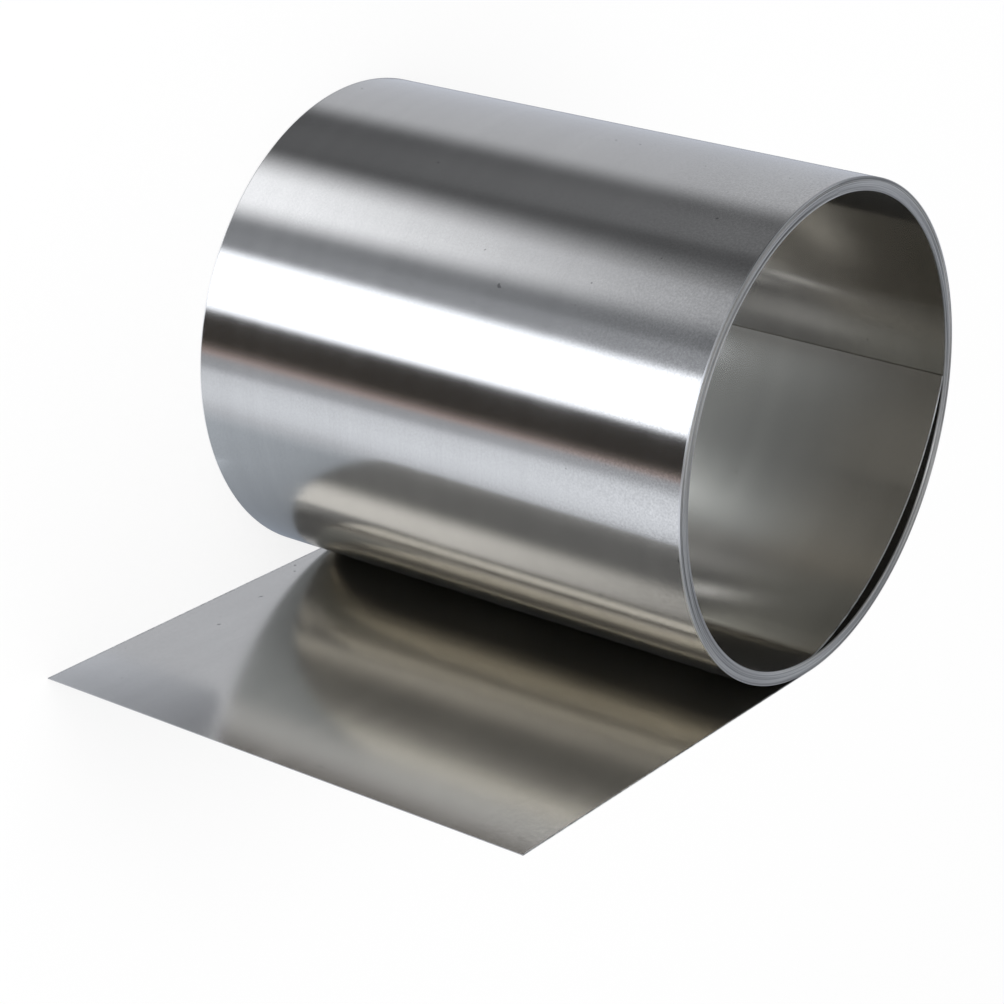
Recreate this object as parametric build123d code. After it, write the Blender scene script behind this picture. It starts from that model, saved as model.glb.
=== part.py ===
from build123d import *
from math import cos, radians, sin
import os

# Roll of stainless steel foil: one strip, wound up tight, with both of its ends loose.
# The roll stands on its end on Z = 0, on the edges of its turns, with the coil's axis upright.
# The outer end of the strip leaves the coil on its +X side and runs flat towards -Y as a tail.
# The inner end springs off the bore's wall on that side and leans its tip on the wall at the back, +Y.
# All sizes are in millimetres, and all angles are in degrees.

# Strip
strip_width = 100.0
strip_thickness = 0.15

# Coil
bore_radius = 41.0
turns = 17
edge_step = 0.2            # how far every second turn is set in at the ends

# Outer end
tail_length = 83.4         # flat length from the line where the strip leaves the coil

# Inner end
lip_bend_radius = 6.0      # bend at the root, measured to the middle of the strip
lip_bend_angle = 13.5      # how steeply the lip leaves the wall
lip_tip_angle = 88.5       # how far round the bore the tip ends, counted from the root
lip_tip_gap = 0.1          # play between the tip and the wall behind it

# Sizes that follow
outer_radius = bore_radius + turns * strip_thickness
coil_axis_y = (tail_length - outer_radius) / 2


def half_circle(start, end, side):
    """Half circle between two points across the coil from each other, bulging to +Y for +1 or to -Y for -1."""
    middle = (start + end) / 2
    radius = abs(end.X - start.X) / 2
    return ThreePointArc(start, middle + Vector(0, side * radius), end)


def outline_with_tail():
    """Outer face of the roll: half circles that step out by one thickness in a turn, then the flat tail."""
    leaves_coil = Vector(outer_radius, 0)
    across_from_it = Vector(-outer_radius, 0)
    behind_tail = leaves_coil - Vector(strip_thickness, 0)
    reach = Vector(0, -tail_length)
    return make_face(
        half_circle(leaves_coil, across_from_it, +1)
        + half_circle(across_from_it, behind_tail, -1)
        + Polyline(behind_tail, behind_tail + reach, leaves_coil + reach, leaves_coil)
    )


def bore():
    """Bore of the roll: its wall also steps out by one thickness in a turn, from the lip's root round to behind it."""
    root = Vector(bore_radius, 0)
    across_from_it = Vector(-bore_radius - strip_thickness / 2, 0)
    behind_lip = root + Vector(strip_thickness, 0)
    return make_face(
        half_circle(root, across_from_it, -1)
        + half_circle(across_from_it, behind_lip, +1)
        + Line(behind_lip, root)
    )


def lip():
    """Sprung inner end: a short bend at the root and a leaf that is flatter than the wall behind it."""
    root = Vector(bore_radius + strip_thickness / 2, 0)
    bend = JernArc(root, (0, 1), lip_bend_radius, lip_bend_angle)
    wall_center = Vector(strip_thickness / 4, 0)
    wall_radius = bore_radius + 3 / 4 * strip_thickness
    tip_radius = wall_radius - lip_tip_gap - strip_thickness / 2
    tip_direction = Vector(cos(radians(lip_tip_angle)), sin(radians(lip_tip_angle)))
    leaf = TangentArc(bend @ 1, wall_center + tip_direction * tip_radius, tangent=bend % 1)
    return trace(bend + leaf, strip_thickness)


def set_in_turns():
    """Rings of every second turn, which are cut back from both ends so that the turns show there."""
    rings = Sketch()
    for turn in range(2, turns - 2, 2):
        inner = bore_radius + turn * strip_thickness
        rings += Circle(inner + strip_thickness) - Circle(inner)
    return rings


def at_height(z, sketch):
    """Place a section, drawn about the coil's axis, at the height Z = z."""
    return Pos(0, coil_axis_y, z) * sketch


def wound_foil():
    section = outline_with_tail() - bore() + lip()
    roll = extrude(at_height(0, section), amount=strip_width)
    lower_cut = extrude(at_height(0, set_in_turns()), amount=edge_step)
    upper_cut = extrude(at_height(strip_width, set_in_turns()), amount=-edge_step)
    return roll - lower_cut - upper_cut


os.makedirs("parts", exist_ok=True)
export_step(wound_foil(), "parts/wound_foil.step")
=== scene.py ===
from math import cos, pi, radians, sin, tan

import bpy
from mathutils import Matrix, Vector


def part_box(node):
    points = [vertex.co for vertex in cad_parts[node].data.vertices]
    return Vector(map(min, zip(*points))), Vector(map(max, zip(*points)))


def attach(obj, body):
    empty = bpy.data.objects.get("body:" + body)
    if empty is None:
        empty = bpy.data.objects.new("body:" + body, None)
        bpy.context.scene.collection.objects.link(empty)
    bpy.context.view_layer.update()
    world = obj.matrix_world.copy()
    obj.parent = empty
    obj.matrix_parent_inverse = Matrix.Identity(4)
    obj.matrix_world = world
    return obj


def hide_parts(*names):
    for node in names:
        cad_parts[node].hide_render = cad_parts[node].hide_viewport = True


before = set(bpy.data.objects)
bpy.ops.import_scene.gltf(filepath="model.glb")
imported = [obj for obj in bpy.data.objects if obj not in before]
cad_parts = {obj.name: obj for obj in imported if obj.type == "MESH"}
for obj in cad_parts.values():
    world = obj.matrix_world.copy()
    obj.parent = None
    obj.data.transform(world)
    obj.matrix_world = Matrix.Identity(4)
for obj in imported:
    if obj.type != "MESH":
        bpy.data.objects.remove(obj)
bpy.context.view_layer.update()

# Roll of stainless steel foil, standing on its end: the coil's axis is upright and its open end is on top.
# The outer end of the strip runs off the coil's +X side towards -Y as a tail. Lengths are in metres.

MM = 0.001
MICRON = 0.001 * MM

# Sizes of the frame's only node
box_low, box_high = (Vector(corner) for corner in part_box("wound_foil"))
strip_width = box_high.z
outer_radius = box_high.x
coil_axis_y = box_high.y - outer_radius
tail_length = coil_axis_y - box_low.y

# Sizes of the strip, as in the part
strip_thickness = 0.15 * MM
turns = 17                        # layers counted on the line through the lip's root and the tail
full_turns = turns - 1
bore_radius = outer_radius - turns * strip_thickness
lip_bend_radius = 6.0 * MM
lip_bend_angle = 13.5
lip_tip_angle = 88.5
lip_tip_gap = 0.1 * MM

# The photo's camera, seen about a roll that lies on its side: X along its axis, Y to the back and Z up.
# Its place is in outer radii, from the point on the ground under the middle of the coil.
photo_size = 1004
photo_focal_length = 3044.0       # in pixels of the photo
photo_azimuth = 36.24
photo_elevation = 22.156
photo_roll = -0.997
photo_place = Vector((6.5907, -9.5020, 5.1292))


# Node trees

class Field:
    """A value in a node tree. Sums, products and comparisons of fields add Math nodes to the tree."""

    def __init__(self, tree, socket):
        self.tree = tree
        self.socket = socket

    def math(self, operation, *others):
        node = self.tree.nodes.new("ShaderNodeMath")
        node.operation = operation
        for place, value in zip(node.inputs, (self, *others)):
            plug(self.tree, place, value)
        return Field(self.tree, node.outputs[0])

    def __add__(self, other):
        return self.math("ADD", other)

    def __sub__(self, other):
        return self.math("SUBTRACT", other)

    def __mul__(self, other):
        return self.math("MULTIPLY", other)

    def __truediv__(self, other):
        return self.math("DIVIDE", other)

    def __rsub__(self, other):
        return self * -1 + other

    __radd__ = __add__
    __rmul__ = __mul__

    def above(self, limit):
        """1 where the value is above the limit, and 0 elsewhere."""
        return self.math("GREATER_THAN", limit)

    def ramp(self, start, end, way="LINEAR"):
        """Goes from 0 at the start to 1 at the end, and stays within them."""
        node = self.tree.nodes.new("ShaderNodeMapRange")
        node.interpolation_type = way
        plug(self.tree, node.inputs["Value"], self)
        plug(self.tree, node.inputs["From Min"], start)
        plug(self.tree, node.inputs["From Max"], end)
        return Field(self.tree, node.outputs[0])

    def soft_ramp(self, start, end):
        return self.ramp(start, end, "SMOOTHSTEP")

    def blend(self, zero, one):
        """The first value where this field is 0, and the second where it is 1."""
        return zero + self * (one - zero)


def plug(tree, place, value):
    """Link a field to an input, or set the input's own value."""
    if isinstance(value, Field):
        tree.links.new(value.socket, place)
    else:
        place.default_value = value


def add_node(tree, kind, settings=None, **inputs):
    """Add a node with its settings and inputs; an input's spaces are written as underscores."""
    node = tree.nodes.new(kind)
    for name, value in (settings or {}).items():
        setattr(node, name, value)
    for name, value in inputs.items():
        plug(tree, node.inputs[name.replace("_", " ")], value)
    return node


def add_field(tree, kind, settings=None, **inputs):
    """Add a node, and take what comes out of its first output."""
    return Field(tree, add_node(tree, kind, settings, **inputs).outputs[0])


def parts_of(tree, field):
    """The X, Y and Z of a vector field."""
    node = add_node(tree, "ShaderNodeSeparateXYZ", Vector=field)
    return [Field(tree, out) for out in node.outputs]


def vector_of(tree, x, y, z):
    return add_field(tree, "ShaderNodeCombineXYZ", X=x, Y=y, Z=z)


# Helpers for the strip and the studio

def placed(name, data):
    """A new object with its data, put in the scene."""
    thing = bpy.data.objects.new(name, data)
    bpy.context.collection.objects.link(thing)
    return thing


def towards(bearing):
    """Level direction at a bearing in degrees, counted from +X towards +Y."""
    return Vector((cos(radians(bearing)), sin(radians(bearing)), 0))


# The strip, wound by Geometry Nodes

STRIP_SIZES = {
    "Bore Radius": bore_radius,
    "Thickness": strip_thickness,
    "Full Turns": full_turns,
    "Steps in a Turn": 288,
    "Axis Y": coil_axis_y,
    "Width": strip_width,
    "Tail Length": tail_length,
    "Groove": 0.012 * MM,         # half the width of the groove between two turns
    "Groove Depth": 0.10 * MM,
    "Edge Play": 0.20 * MM,       # how far a turn's edge may stand in from the end
    "Seed": 4.0,
}
EDGE_LINES = 4                    # lines of points that lie side by side on the strip's edge
HALF_LINE = 0.5 / (EDGE_LINES - 1)                          # half the share of the way between two lines
LINE_LIMITS = (HALF_LINE, 3 * HALF_LINE, 5 * HALF_LINE)     # shares of the way that tell the lines apart
TAIL_STEPS = 24
LIP_STEPS = 49                    # the first one is the bend at the root
WELD_DISTANCE = 0.002 * MM
SHARP_ANGLE = 25

# Where a groove runs out: a share of a turn, a share of the tail and a number of the lip's steps
GROOVE_END = 0.015
GROOVE_END_ON_TAIL = 0.03
GROOVE_END_ON_LIP = 2.5

# Play of the edge: its changes in a turn, its finer changes, the noise values for none and for all of it,
# and how many turns the tail and the lip count for
PLAY_CHANGES = 0.83
PLAY_DETAIL = 3.0
PLAY_ROUGHNESS = 0.62
PLAY_RANGE = (0.28, 0.72)
TAIL_TURNS = 0.3
LIP_TURNS = 0.24


class StripTree:
    """Geometry Nodes tree that lays out the strip's edge as a spiral and gives it the strip's width."""

    def __init__(self):
        self.tree = bpy.data.node_groups.new("wound_strip", "GeometryNodeTree")
        self.tree.is_modifier = True
        self.sockets = {}
        face = self.tree.interface
        for name, value in STRIP_SIZES.items():
            kind = "NodeSocketInt" if isinstance(value, int) else "NodeSocketFloat"
            self.sockets[name] = face.new_socket(name=name, in_out="INPUT", socket_type=kind)
        self.sockets["Finish"] = face.new_socket(name="Finish", in_out="INPUT",
                                                 socket_type="NodeSocketMaterial")
        face.new_socket(name="Strip", in_out="OUTPUT", socket_type="NodeSocketGeometry")
        self.given = add_node(self.tree, "NodeGroupInput")

    def size(self, name):
        return Field(self.tree, self.given.outputs[name])

    def grid(self, across, along):
        """Flat grid of unit size, with its two shares of the way: across the lines and along them."""
        mesh = add_field(self.tree, "GeometryNodeMeshGrid", Size_X=1.0, Size_Y=1.0, Vertices_X=across,
                         Vertices_Y=along)
        x, y, _ = parts_of(self.tree, add_field(self.tree, "GeometryNodeInputPosition"))
        return mesh, x + 0.5, y + 0.5

    def through_strip(self, share):
        """Place through the strip's thickness, 0 to 1, of the lines that the grid has in equal steps."""
        groove = self.size("Groove") / self.size("Thickness")
        past_first, past_second, past_third = (share.above(limit) for limit in LINE_LIMITS)
        return past_first * groove + past_second * (1 - groove * 2) + past_third * groove

    def play(self, way):
        """How far the strip's edge stands in from the end, at a way along the strip in turns."""
        noise = add_field(self.tree, "ShaderNodeTexNoise", {"noise_dimensions": "1D"},
                          W=way * PLAY_CHANGES + self.size("Seed"), Scale=1.0, Detail=PLAY_DETAIL,
                          Roughness=PLAY_ROUGHNESS)
        return noise.ramp(*PLAY_RANGE) * self.size("Edge Play")

    def edge(self, mesh, x, y, way, low):
        """Put the grid's points in place in plan, and note how high they stand at the roll's two ends."""
        stands_in = self.play(way)
        groove = self.size("Edge Play") + self.size("Groove Depth")
        upper = self.size("Width") - low.blend(stands_in, groove)
        lower = low.blend(self.size("Edge Play") - stands_in, groove)
        for name, height in (("upper", upper), ("lower", lower)):
            mesh = add_field(self.tree, "GeometryNodeStoreNamedAttribute", Geometry=mesh, Name=name,
                             Value=height)
        return add_field(self.tree, "GeometryNodeSetPosition", Geometry=mesh,
                         Position=vector_of(self.tree, x, y, 0.0))

    def coil(self):
        """All full turns: three lines for each turn, out of which the first lies in the groove before it."""
        count = self.size("Full Turns")
        mesh, across, along = self.grid(count * (EDGE_LINES - 1) + 1, self.size("Steps in a Turn") + 1)
        across = across * count
        turn = (across + HALF_LINE).math("FLOOR")
        share = across - turn
        layers = turn + self.through_strip(share) + along
        radius = self.size("Bore Radius") + self.size("Thickness") * layers
        angle = along * (-2 * pi)
        x = radius * angle.math("COSINE")
        y = self.size("Axis Y") + radius * angle.math("SINE")
        in_groove = 1 - share.above(HALF_LINE)
        at_bore = 1 - across.above(HALF_LINE)
        at_outside = across.above(count - HALF_LINE)
        low_at_bore = at_bore * along.ramp(1 - GROOVE_END, 1.0)
        low_outside = at_outside * along.ramp(GROOVE_END, 0.0)
        low = (in_groove - at_bore - at_outside) + low_at_bore + low_outside
        return self.edge(mesh, x, y, turn - at_outside + along, low)

    def tail(self):
        mesh, across, along = self.grid(EDGE_LINES, TAIL_STEPS + 1)
        outside = self.size("Bore Radius") + self.size("Thickness") * (self.size("Full Turns") + 1)
        x = outside - self.size("Thickness") * (1 - self.through_strip(across))
        y = self.size("Axis Y") - self.size("Tail Length") * along
        low = (1 - across.above(HALF_LINE)) * along.ramp(GROOVE_END_ON_TAIL, 0.0)
        return self.edge(mesh, x, y, self.size("Full Turns") + along * TAIL_TURNS, low)

    def lip(self):
        """Sprung inner end: an arc from the end of the root's bend, and one row of faces for the bend."""
        outward = towards(lip_bend_angle).xy    # from the centers of the bend and the arc to the bend's end
        root = bore_radius + strip_thickness / 2
        bend_end = Vector((root - lip_bend_radius, 0)) + lip_bend_radius * outward
        wall_center = Vector((strip_thickness / 4, 0))
        tip_radius = bore_radius + strip_thickness / 4 - lip_tip_gap
        reach = wall_center + tip_radius * towards(lip_tip_angle).xy - bend_end
        leaf_radius = reach.length_squared / (2 * reach.dot(-outward))
        center = bend_end - leaf_radius * outward
        leaf_sweep = (reach + leaf_radius * outward).angle_signed(outward)

        mesh, across, along = self.grid(EDGE_LINES, LIP_STEPS + 1)
        through = self.through_strip(across)
        leaf_way = along.ramp(1 / LIP_STEPS, 1.0)
        angle = leaf_way * abs(leaf_sweep) + radians(lip_bend_angle)
        radius = self.size("Thickness") * (through - 0.5) + leaf_radius
        on_leaf = along.above(0.5 / LIP_STEPS)
        x = on_leaf.blend(self.size("Bore Radius") + self.size("Thickness") * through,
                          radius * angle.math("COSINE") + center.x)
        y = self.size("Axis Y") + on_leaf * (radius * angle.math("SINE") + center.y)
        low = across.above(1 - HALF_LINE) * along.ramp(GROOVE_END_ON_LIP / LIP_STEPS, 0.0)
        return self.edge(mesh, x, y, along * -LIP_TURNS, low)

    def turned_over(self, mesh):
        return add_field(self.tree, "GeometryNodeFlipFaces", Mesh=mesh)

    def welded(self, meshes):
        """The meshes as one, with one point where several lie on each other."""
        joined = add_node(self.tree, "GeometryNodeJoinGeometry")
        for mesh in meshes:
            self.tree.links.new(mesh.socket, joined.inputs[0])
        return add_field(self.tree, "GeometryNodeMergeByDistance",
                         Geometry=Field(self.tree, joined.outputs[0]), Distance=WELD_DISTANCE)

    def build(self):
        """Extrude the edge to a closed strip of unit width, and put its ends at the noted heights."""
        tree = self.tree
        edge = self.welded([self.turned_over(self.coil()), self.turned_over(self.tail()), self.lip()])
        raised = add_field(tree, "GeometryNodeExtrudeMesh", {"mode": "FACES"}, Mesh=edge, Individual=False,
                           Offset=vector_of(tree, 0.0, 0.0, 1.0), Offset_Scale=1.0)
        closed = self.welded([raised, self.turned_over(edge)])
        x, y, z = parts_of(tree, add_field(tree, "GeometryNodeInputPosition"))
        ends = [add_field(tree, "GeometryNodeInputNamedAttribute", Name=name) for name in ("lower", "upper")]
        shaped = add_field(tree, "GeometryNodeSetPosition", Geometry=closed,
                           Position=vector_of(tree, x, y, z.blend(*ends)))
        real = add_field(tree, "GeometryNodeRealizeInstances", Geometry=shaped)
        finished = add_field(tree, "GeometryNodeSetMaterial", Geometry=real, Material=self.size("Finish"))
        out = add_node(tree, "NodeGroupOutput")
        tree.links.new(finished.socket, out.inputs[0])
        return tree


def wound_strip(finish):
    """The strip as a plain mesh, made by the tree from its named sizes."""
    strip = StripTree()
    seedling = placed("strip_tree", bpy.data.meshes.new("strip_tree"))
    winding = seedling.modifiers.new("winding", "NODES")
    winding.node_group = strip.build()
    for name, value in {**STRIP_SIZES, "Finish": finish}.items():
        winding[strip.sockets[name].identifier] = value
    evaluated = seedling.evaluated_get(bpy.context.evaluated_depsgraph_get())
    mesh = bpy.data.meshes.new_from_object(evaluated)
    bpy.data.objects.remove(seedling)
    for name in ("upper", "lower"):
        mesh.attributes.remove(mesh.attributes[name])
    mesh.polygons.foreach_set("use_smooth", [True] * len(mesh.polygons))
    mesh.set_sharp_from_angle(angle=radians(SHARP_ANGLE))
    mesh.name = "foil_strip"
    return placed("foil_strip", mesh)


# Finish

# Rolled face: bright and satin, with fine lines along the strip, a little cloudiness, grain and a few pits.
# Lengths lie along the strip, and pitches across its width.
ROLLED_COLOUR = (0.618, 0.590, 0.530)
ROLLED_ROUGHNESS = 0.135
ROUGHNESS_SWING = 0.03            # by the bands and again by the clouds
SPREAD_ACROSS = 0.7               # the rolling marks blur reflections more across the strip than along it
SPREAD_TURN = 0.25                # in turns, from the tangent of the coil
OIL_FILM = 0.35                   # a trace of rolling oil gives the sharp reflections a faint haze
OIL_ROUGHNESS = 0.5
LINE_PITCH = 0.35 * MM
LINE_LENGTH = 45 * MM
BAND_PITCH = 4.0 * MM             # wider bands of the same lines
BAND_LENGTH = 135 * MM
CLOUD_SIZE = 14 * MM
GRAIN_SIZE = 0.36 * MM
DENT_SIZE = 2.2 * MM
BUCKLE_PITCH = 96 * MM
BUCKLE_LENGTH = 24 * MM
GRAIN_HEIGHT = 0.5                # heights of the relief, in thousandths of a millimetre
DENT_HEIGHT = 2.2
PLAIN_DENTS = 0.2                 # share of the dents' height where the strip wasn't handled
BUCKLE_HEIGHT = 9.0
HANDLED_REACH = 34 * MM           # how far from the open end the face is dented by handling
PIT_SIZE = 1.1 * MM
PIT_RANGE = (0.875, 0.89)         # noise values where a pit starts and where it is at its darkest

# Shade of the rolled face, as a factor of its colour, and what its marks add to it
ROLLED_SHADE = 0.87
LINE_SHADE = 0.035
BAND_SHADE = 0.07
CLOUD_SHADE = 0.06
GRAIN_SHADES = (0.08, 0.36)       # on the plain face and where it was handled
HANDLED_SHADE = -0.14
PIT_SHADE = -0.45

# Cut edges: slit, duller and less warm, with the turns lighter and darker by groups and one by one
# Their lighter and darker turns are partly their own tone and partly painted shade of turns that stand in,
# with painted glints of burrs
CUT_COLOUR = (0.56, 0.545, 0.505)
CUT_ROUGHNESS = 0.38
CUT_REACH = (0.338 * MM, 0.286 * MM)    # how far from the ends the slitting mark starts and is full
TURN_SHIFT = 1.7                  # from one turn to the next, in the noise that shades the turns
TURN_CHANGES = 4                  # changes of that noise in a turn
GROUP_PITCH = 0.62 * MM
GROUP_LENGTH = 30 * MM

# Shade of the cut edges, as a factor of their colour; the ranges are the noise values for none of it and all
CUT_SHADE = 0.35
TURN_RANGE = (0.25, 0.75)
TURN_SHADE = 0.5
GROUP_RANGE = (0.3, 0.7)
GROUP_SHADE = 0.7


def noise(tree, place, detail=0.0):
    """Noise about as coarse as one unit of its place, from 0 to 1."""
    return add_field(tree, "ShaderNodeTexNoise", Vector=place, Scale=1.0, Detail=detail, Roughness=0.5)


def stainless_foil():
    """Satin cold-rolled stainless steel with slit edges."""
    material = bpy.data.materials.new("stainless_foil")
    material.use_nodes = True
    tree = material.node_tree
    shader = tree.nodes["Principled BSDF"]
    coordinates = add_node(tree, "ShaderNodeTexCoord")
    x, y, z = parts_of(tree, Field(tree, coordinates.outputs["Object"]))
    from_axis = y - coil_axis_y
    radius = (x * x + from_axis * from_axis).math("SQRT")

    def even(size, shift=0.0):
        """Place in a noise of one size in all directions; the shift keeps it apart from other noises."""
        return vector_of(tree, x / size + shift, y / size, z / size)

    def drawn(length, pitch):
        """Place in a noise that is drawn out along the strip or across it."""
        return vector_of(tree, x / length, y / length, z / pitch)

    lines = noise(tree, drawn(LINE_LENGTH, LINE_PITCH), detail=1.0)
    band = noise(tree, drawn(BAND_LENGTH, BAND_PITCH))
    cloud = noise(tree, even(CLOUD_SIZE, shift=5.0))
    grain = noise(tree, even(GRAIN_SIZE))
    dent = noise(tree, even(DENT_SIZE, shift=9.0))
    buckle = noise(tree, drawn(BUCKLE_LENGTH, BUCKLE_PITCH))
    pit = noise(tree, even(PIT_SIZE, shift=3.0)).ramp(*PIT_RANGE)
    handled = z.soft_ramp(strip_width - HANDLED_REACH, strip_width)

    rolled_shade = lines * LINE_SHADE + band * BAND_SHADE + cloud * CLOUD_SHADE
    rolled_shade = rolled_shade + grain * handled.blend(*GRAIN_SHADES) + ROLLED_SHADE
    rolled_shade = rolled_shade + handled * HANDLED_SHADE + pit * PIT_SHADE

    starts, full = CUT_REACH
    at_ends = z.ramp(strip_width - starts, strip_width - full) + z.ramp(starts, full)
    sweep = from_axis.math("ARCTAN2", x) / (-2 * pi)
    turn = ((radius - bore_radius) / strip_thickness - sweep).math("FLOOR")
    # Painted shade and painted glints among the turns' edges, along with their own tone: lighter and darker
    # one by one and by groups
    one_turn = noise(tree, vector_of(tree, turn * TURN_SHIFT + sweep * TURN_CHANGES, 0.5, 0.5))
    in_group = vector_of(tree, radius / GROUP_PITCH, x / GROUP_LENGTH, y / GROUP_LENGTH)
    group = noise(tree, in_group, detail=1.0)
    cut_tone_and_painted_light = one_turn.ramp(*TURN_RANGE) * TURN_SHADE + group.ramp(*GROUP_RANGE) * GROUP_SHADE + CUT_SHADE

    colour = [at_ends.blend(rolled_shade * rolled, cut_tone_and_painted_light * cut)
              for rolled, cut in zip(ROLLED_COLOUR, CUT_COLOUR)]
    plug(tree, shader.inputs["Base Color"], vector_of(tree, *colour))
    rolled_roughness = (band + cloud - 1) * ROUGHNESS_SWING + ROLLED_ROUGHNESS
    plug(tree, shader.inputs["Roughness"], at_ends.blend(rolled_roughness, CUT_ROUGHNESS))
    shader.inputs["Metallic"].default_value = 1.0
    shader.inputs["Coat Weight"].default_value = OIL_FILM
    shader.inputs["Coat Roughness"].default_value = OIL_ROUGHNESS
    shader.inputs["Anisotropic"].default_value = SPREAD_ACROSS
    shader.inputs["Anisotropic Rotation"].default_value = SPREAD_TURN
    along = add_field(tree, "ShaderNodeTangent", {"direction_type": "RADIAL", "axis": "Z"})
    plug(tree, shader.inputs["Tangent"], along)

    dents = dent * handled.blend(PLAIN_DENTS, 1.0)
    relief = grain * GRAIN_HEIGHT + dents * DENT_HEIGHT + buckle * BUCKLE_HEIGHT
    bump = add_field(tree, "ShaderNodeBump", Strength=1.0, Distance=MICRON, Height=relief)
    plug(tree, shader.inputs["Normal"], bump)
    return material


# Studio

# Cards and flags that only the metal sees. Most stand round the roll as one wide upright screen that
# reaches far below the floor, since upright walls that are seen from above mirror what lies below them.
# Each card starts at a bearing, counted from +X towards +Y about the coil's axis, and reaches to the next
# one. A row has the bearing of its start low down and higher up, the softness of that edge in degrees, its
# brightness low down and higher up, and its tint.
COOL = Vector((0.97, 1.0, 1.04))
LILAC = Vector((0.98, 0.99, 1.00))
BROWN = Vector((1.16, 0.99, 0.80))
PINK = Vector((1.22, 0.96, 0.88))
BLUE = Vector((0.93, 1.0, 1.06))
DAYLIGHT = Vector((0.942, 0.987, 1.114))    # colour of the light that all cards give off
SCREEN_CARDS = (
    ("back_card", (80, 80), 8, (0.68, 0.62), LILAC),
    ("upper_flag", (143, 148), 16, (0.115, 0.18), LILAC),
    ("faint_card", (160, 160), 10, (0.14, 0.22), LILAC),
    ("notch_flag", (176, 176), 6, (0.14, 0.115), LILAC),
    ("valley_flag", (193, 197), 5, (0.35, 0.24), COOL),
    ("valley_card", (225, 225.5), 4, (0.35, 0.44), COOL),
    ("main_soft_box", (233.2, 237), 5, (2.20, 2.20), COOL),
    ("lower_flag", (262.6, 262.6), 3.4, (0.045, 0.035), BROWN),
    ("side_card", (300, 300), 12, (0.90, 0.90), COOL),
    ("side_flag", (345, 345), 14, (0.16, 0.16), LILAC),
    ("rim_card", (382, 382), 16, (0.50, 0.50), COOL),
)
SCREEN_RADIUS = 3.0
LOWER = -40.0                     # elevation where the low values hold, and everything under it
HIGHER = -29.0                    # elevation where the other values hold, and everything above it
SCREEN_ELEVATIONS = (-72, LOWER, -37.5, -35, -32, HIGHER, 0, 40, 72)
FULL_CIRCLE = 360

# The ground card stands upright beside the tail's outer face, and only the metal sees it. It is shaded
# beside the roll, bright in front of the tail and dark further out. A row has how far in front of the coil's
# axis the card has that light, low down and at the height of the roll's foot, its brightness there, and its
# tint. The distances and the heights are in mm.
GROUND_GAP = 0.5 * MM
PAST_TAIL = tail_length / MM + 1  # 1 mm in front of the tail's end
GROUND_BANDS = (
    ("behind_end", (-500, -500), (0.32, 0.07), COOL),
    ("behind_dim", (-190, -190), (0.32, 0.07), COOL),
    ("behind_shade", (-60, -60), (1.05, 0.10), BLUE),
    ("contact_line", (0, 0), (0.90, 0.25), BLUE),
    ("near_shade", (28, 28), (0.92, 0.30), BLUE),
    ("half_shade", (50, 50), (0.95, 0.43), BLUE),
    ("open_shade", (72, 72), (0.80, 0.49), BLUE),
    ("tail_front", (PAST_TAIL, PAST_TAIL), (0.80, 0.74), COOL),
    ("bright_start", (96, 96), (0.93, 1.00), COOL),
    ("bright_middle", (110, 112), (0.97, 1.08), COOL),
    ("bright_end", (145, 160), (0.91, 0.98), COOL),
    ("half_bright", (172, 195), (0.50, 0.55), COOL),
    ("even_half", (215, 245), (0.48, 0.50), COOL),
    ("warm_half", (242, 272), (0.48, 0.46), PINK),
    ("warm_end", (280, 300), (0.24, 0.30), PINK),
    ("dark_start", (330, 340), (0.11, 0.12), BROWN),
    ("dark_end", (420, 420), (0.045, 0.045), BROWN),
)
GROUND_HEIGHTS = (-600, -100, -45, -19, 0, 200)
GROUND_LOW = -100                 # height where the low values hold, and everything under it
GROUND_STREAK = ("near_shade", -45, 1.60)     # band, height and extra brightness of a narrow bright streak

# The far-end card is a part of a cylinder just under the coil, so only the bore's reflections reach it.
# A row has a bearing, and the brightness at the card's foot and at its top.
FAR_END_RADIUS = 44.0 * MM
FAR_END_HEIGHTS = (-48.0 * MM, -1.5 * MM)
FAR_END_ROWS = 12
FAR_END_LIGHTS = (
    (96, (0.95, 0.25)),
    (125, (0.75, 0.15)),
    (150, (0.65, 0.12)),
    (159, (0.25, 0.12)),
    (184, (0.35, 0.20)),
    (196, (0.35, 0.70)),
    (210, (0.18, 0.60)),
    (225, (0.18, 0.15)),
    (262, (0.30, 0.10)),
    (276, (0.90, 0.55)),
    (290, (0.60, 0.25)),
    (301, (1.00, 0.38)),
)
# Narrow bright streaks on it: bearing and half width in degrees, height and half width in mm, and the extra
# brightness
FAR_END_STREAKS = (
    (238, 5, -23, 10, 1.5),
    (250, 7, -6, 9, 2.5),
)

# The upper soft box hangs near the roll: an upright panel across from the tail
PANEL_X = -0.22
PANEL_Y = (-0.140, -0.036)
PANEL_TOP = 0.07
PANEL_FOOT = -1.5
PANEL_SOFTNESS = 0.036
PANEL_TOP_FADE = 0.24             # how far below its top it is full
PANEL_BRIGHT = (1.62, 1.14)       # at the first height of its fade and at the second
PANEL_FADE = (-0.20, -0.03)
PANEL_LEAN = 0.033                # how far its right edge leans to the left between its leaning's heights
PANEL_LEANING = (-0.19, 0.06)

# The floor and the light on it
FLOOR_REACH = 3.0
FLOOR_COLOUR = (0.88, 0.88, 0.88, 1.0)
FLOOR_WHITE = 0.8                 # share of plain white in what the camera sees of it
WHITE = (1.0, 1.0, 1.0, 1.0)
WORLD_STRENGTH = 0.8
LAMP_PLACE = Vector((-0.3, -0.4, 1.2))
LAMP_SIZE = 0.8
LAMP_POWER = 8.0


def between(pair, share):
    """Value at a share of the way from the first of a pair to the second."""
    return pair[0] + (pair[1] - pair[0]) * share


def limited(share):
    """The share, kept from 0 to 1."""
    return min(max(share, 0.0), 1.0)


def hill(distance, reach):
    """1 in the middle of a hill, and 0 from its reach on."""
    return max(0.0, 1 - (distance / reach) ** 2)


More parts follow.
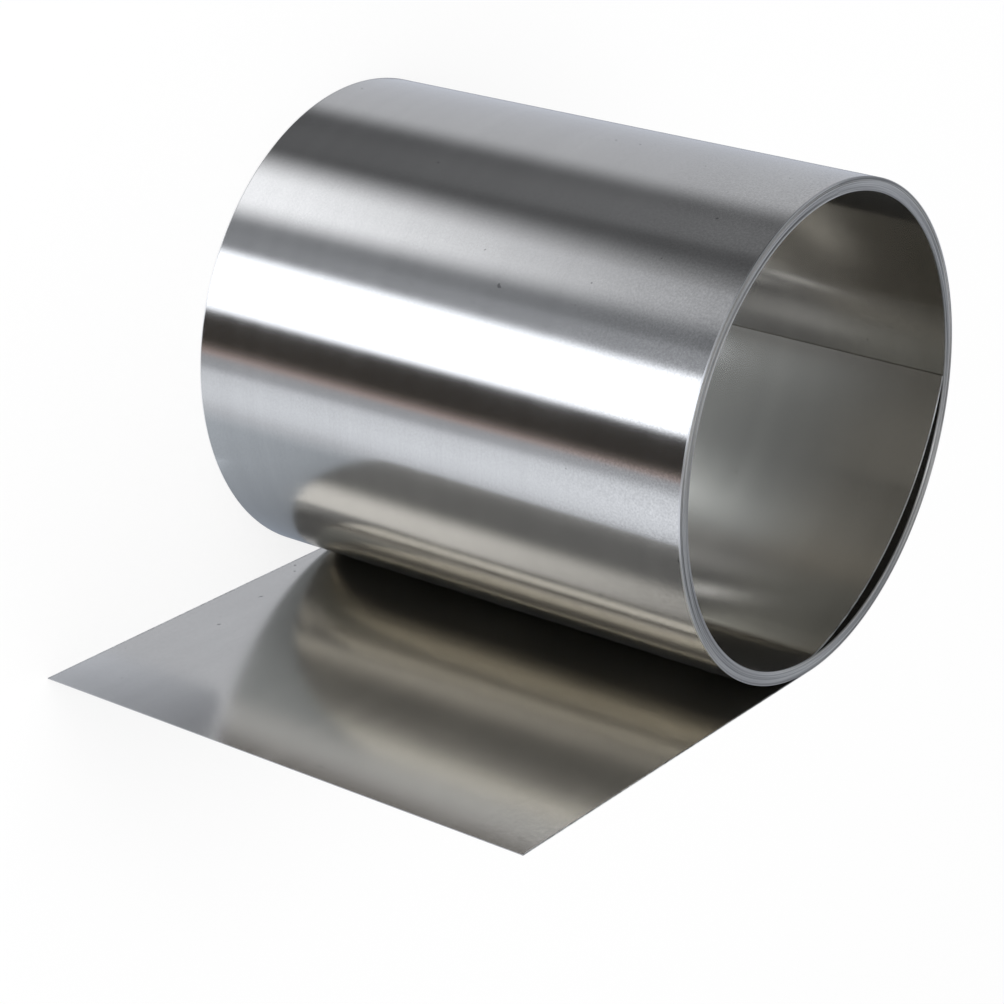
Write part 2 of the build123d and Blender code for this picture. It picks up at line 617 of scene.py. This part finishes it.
def around_axis(bearing, radius, height):
    """Point at a bearing about the coil's axis."""
    return radius * towards(bearing) + Vector((0, coil_axis_y, height))


def grid_faces(lines, length):
    """Faces between the points of a grid, listed line by line; the length is the points in a line."""
    corners = [line * length + place for line in range(lines - 1) for place in range(length - 1)]
    return [(n, n + 1, n + length + 1, n + length) for n in corners]


def bare_material(name):
    """Material with an empty tree."""
    material = bpy.data.materials.new(name)
    material.use_nodes = True
    material.node_tree.nodes.clear()
    return material


def mixed(tree, share, zero, one):
    """Shader that is the first one where the share is 0, and the second where it is 1."""
    mix = add_node(tree, "ShaderNodeMixShader")
    for place, value in zip(mix.inputs, (share, zero, one)):
        plug(tree, place, value)
    return Field(tree, mix.outputs[0])


def show(tree, shader):
    """Make a shader the one that a material's surface has."""
    out = add_node(tree, "ShaderNodeOutputMaterial")
    plug(tree, out.inputs["Surface"], shader)


def studio_piece(name, points, faces, material):
    """Mesh that belongs to the studio and not to the part."""
    mesh = bpy.data.meshes.new(name)
    mesh.from_pydata(points, [], faces)
    mesh.materials.append(material)
    piece = placed(name, mesh)
    return piece


def only_mirrored(card):
    """Let only the metal see a card, neither the camera nor the matt floor."""
    card.visible_camera = False
    card.visible_diffuse = False
    card.visible_shadow = False


def glowing_card(name, points, faces, colours):
    """Mesh that shines with a colour given at each point, for the metal alone."""
    material = bare_material(name)
    tree = material.node_tree
    light = add_field(tree, "ShaderNodeVertexColor", {"layer_name": "light"})
    show(tree, add_field(tree, "ShaderNodeEmission", Color=light, Strength=1.0))
    card = studio_piece(name, points, faces, material)
    layer = card.data.color_attributes.new("light", "FLOAT_COLOR", "POINT")
    for vertex, colour in enumerate(colours):
        layer.data[vertex].color = (*colour, 1.0)
    only_mirrored(card)


def screen_light(bearing, level):
    """Colour of the screen at a bearing; the level is 0 low down and 1 higher up."""
    name, starts, softness, lights, tint = SCREEN_CARDS[0]
    colour = between(lights, level) * tint * DAYLIGHT
    first_again = (name, [start + FULL_CIRCLE for start in starts], softness, lights, tint)
    for _, starts, softness, lights, tint in (*SCREEN_CARDS[1:], first_again):
        share = limited((bearing - between(starts, level)) / softness + 0.5)
        colour = colour.lerp(between(lights, level) * tint * DAYLIGHT, share * share * (3 - 2 * share))
    return colour


def card_screen():
    """The screen of cards as one mesh."""
    _, starts, softness, _, _ = SCREEN_CARDS[0]
    first_bearing = max(starts) + softness / 2
    points, colours = [], []
    for step in range(FULL_CIRCLE + 1):
        bearing = first_bearing + step
        for elevation in SCREEN_ELEVATIONS:
            level = limited((elevation - LOWER) / (HIGHER - LOWER))
            points.append(around_axis(bearing, SCREEN_RADIUS, SCREEN_RADIUS * tan(radians(elevation))))
            colours.append(screen_light(bearing, level))
    glowing_card("card_screen", points, grid_faces(FULL_CIRCLE + 1, len(SCREEN_ELEVATIONS)), colours)


def ground_card():
    """The ground card as one upright mesh, which leaves the tail's own place clear."""
    points, colours = [], []
    for height in GROUND_HEIGHTS:
        level = limited(1 - height / GROUND_LOW)
        for name, distances, lights, tint in GROUND_BANDS:
            light = between(lights, level)
            if (name, height) == GROUND_STREAK[:2]:
                light += GROUND_STREAK[2]
            from_axis = -between(distances, level) * MM
            points.append(Vector((outer_radius + GROUND_GAP, coil_axis_y + from_axis, height * MM)))
            colours.append(light * tint * DAYLIGHT)
    faces = []
    for face in grid_faces(len(GROUND_HEIGHTS), len(GROUND_BANDS)):
        _, y, z = points[face[0]]
        if z < 0 or y < coil_axis_y - tail_length:
            faces.append(face)
    glowing_card("ground_card", points, faces, colours)


def far_end_light(bearing, share):
    """Brightness of the far-end card at a bearing, and at a share of the way from its foot to its top."""
    rows = zip(FAR_END_LIGHTS, FAR_END_LIGHTS[1:])
    (start, before), (stop, after) = next(pair for pair in rows if bearing <= pair[1][0])
    step = (bearing - start) / (stop - start)
    light = between([between(pair, step) for pair in zip(before, after)], share)
    height = between(FAR_END_HEIGHTS, share) / MM
    for middle, width, middle_height, reach, extra in FAR_END_STREAKS:
        light += extra * hill(bearing - middle, width) * hill(height - middle_height, reach)
    return light


def far_end_card():
    first, last = FAR_END_LIGHTS[0][0], FAR_END_LIGHTS[-1][0]
    shares = [row / FAR_END_ROWS for row in range(FAR_END_ROWS + 1)]
    points, colours = [], []
    for bearing in range(first, last + 1):
        for share in shares:
            points.append(around_axis(bearing, FAR_END_RADIUS, between(FAR_END_HEIGHTS, share)))
            colours.append(far_end_light(bearing, share) * COOL * DAYLIGHT)
    glowing_card("far_end_card", points, grid_faces(last - first + 1, len(shares)), colours)


def soft_panel():
    """Upper soft box: it is bright low down and fades upwards, and its edges fade to clear."""
    material = bare_material("soft_panel")
    tree = material.node_tree
    place = add_node(tree, "ShaderNodeTexCoord")
    _, y, z = parts_of(tree, Field(tree, place.outputs["Object"]))
    left, right = PANEL_Y
    leaning = y + (z.ramp(*PANEL_LEANING) - 0.5) * PANEL_LEAN
    cover = y.soft_ramp(left - PANEL_SOFTNESS, left + PANEL_SOFTNESS)
    cover = cover * leaning.soft_ramp(right + PANEL_SOFTNESS, right - PANEL_SOFTNESS)
    cover = cover * z.soft_ramp(PANEL_TOP, PANEL_TOP - PANEL_TOP_FADE)
    strength = z.soft_ramp(*PANEL_FADE).blend(*PANEL_BRIGHT)
    glow = add_field(tree, "ShaderNodeEmission", Color=(*(LILAC * DAYLIGHT), 1.0), Strength=strength)
    clear = add_field(tree, "ShaderNodeBsdfTransparent")
    show(tree, mixed(tree, cover, clear, glow))
    near = left - PANEL_SOFTNESS
    far = right + PANEL_SOFTNESS + PANEL_LEAN / 2
    in_plane = ((near, PANEL_FOOT), (far, PANEL_FOOT), (far, PANEL_TOP), (near, PANEL_TOP))
    panel = studio_piece("soft_panel", [(PANEL_X, y, z) for y, z in in_plane], [(0, 1, 2, 3)], material)
    only_mirrored(panel)


def pale_floor():
    """Matt floor that the camera sees mostly as white, so only a faint shade of the roll is left on it."""
    material = bare_material("pale_floor")
    tree = material.node_tree
    matt = add_field(tree, "ShaderNodeBsdfDiffuse", Color=FLOOR_COLOUR)
    white = add_field(tree, "ShaderNodeEmission", Color=WHITE, Strength=1.0)
    seen = add_node(tree, "ShaderNodeLightPath")
    share = Field(tree, seen.outputs["Is Camera Ray"]) * FLOOR_WHITE
    show(tree, mixed(tree, share, matt, white))
    corners = [(x * FLOOR_REACH, y * FLOOR_REACH, 0.0) for x, y in ((-1, -1), (1, -1), (1, 1), (-1, 1))]
    floor = studio_piece("floor", corners, [(0, 1, 2, 3)], material)
    floor.visible_glossy = False


def soft_lamp(name, place, size, power):
    """Square area lamp that points at the middle of the roll."""
    light = bpy.data.lights.new(name, "AREA")
    light.shape = "SQUARE"
    light.size = size
    light.energy = power
    lamp = placed(name, light)
    aim = Vector((0, coil_axis_y, strip_width / 2)) - place
    lamp.matrix_world = Matrix.Translation(place) @ aim.to_track_quat("-Z", "Y").to_matrix().to_4x4()


def studio():
    world = bpy.data.worlds.new("studio")
    bpy.context.scene.world = world
    world.use_nodes = True
    world.node_tree.nodes["Background"].inputs["Color"].default_value = WHITE
    world.node_tree.nodes["Background"].inputs["Strength"].default_value = WORLD_STRENGTH
    pale_floor()
    card_screen()
    ground_card()
    far_end_card()
    soft_panel()
    soft_lamp("overhead_lamp", LAMP_PLACE, LAMP_SIZE, LAMP_POWER)
    bpy.context.scene.view_settings.view_transform = "Standard"


# Camera

def stood_up(vector):
    """Turn a direction of the lying roll as the roll itself is turned when it is stood on its far end."""
    return Vector((-vector.z, vector.y, vector.x))


def camera_place():
    """The photo camera's place in the standing roll's frame."""
    above_axis = stood_up(photo_place - Vector((0, 0, 1))) * outer_radius
    return above_axis + Vector((0, coil_axis_y, strip_width / 2))


def photo_camera():
    azimuth, elevation, roll = (radians(a) for a in (photo_azimuth, photo_elevation, photo_roll))
    back = Vector((sin(azimuth) * cos(elevation), -cos(azimuth) * cos(elevation), sin(elevation)))
    level_right = Vector((0, 0, 1)).cross(back).normalized()
    level_up = back.cross(level_right)
    right = cos(roll) * level_right - sin(roll) * level_up
    up = sin(roll) * level_right + cos(roll) * level_up
    axes = Matrix([stood_up(v) for v in (right, up, back)]).transposed()

    lens = bpy.data.cameras.new("photo_camera")
    lens.sensor_width = 36.0
    lens.lens = photo_focal_length / photo_size * lens.sensor_width
    lens.clip_start = 0.01
    camera = placed("photo_camera", lens)
    camera.matrix_world = Matrix.Translation(camera_place()) @ axes.to_4x4()
    bpy.context.scene.camera = camera


foil = stainless_foil()
strip = wound_strip(foil)
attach(strip, "root")
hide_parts("wound_foil")
studio()
photo_camera()
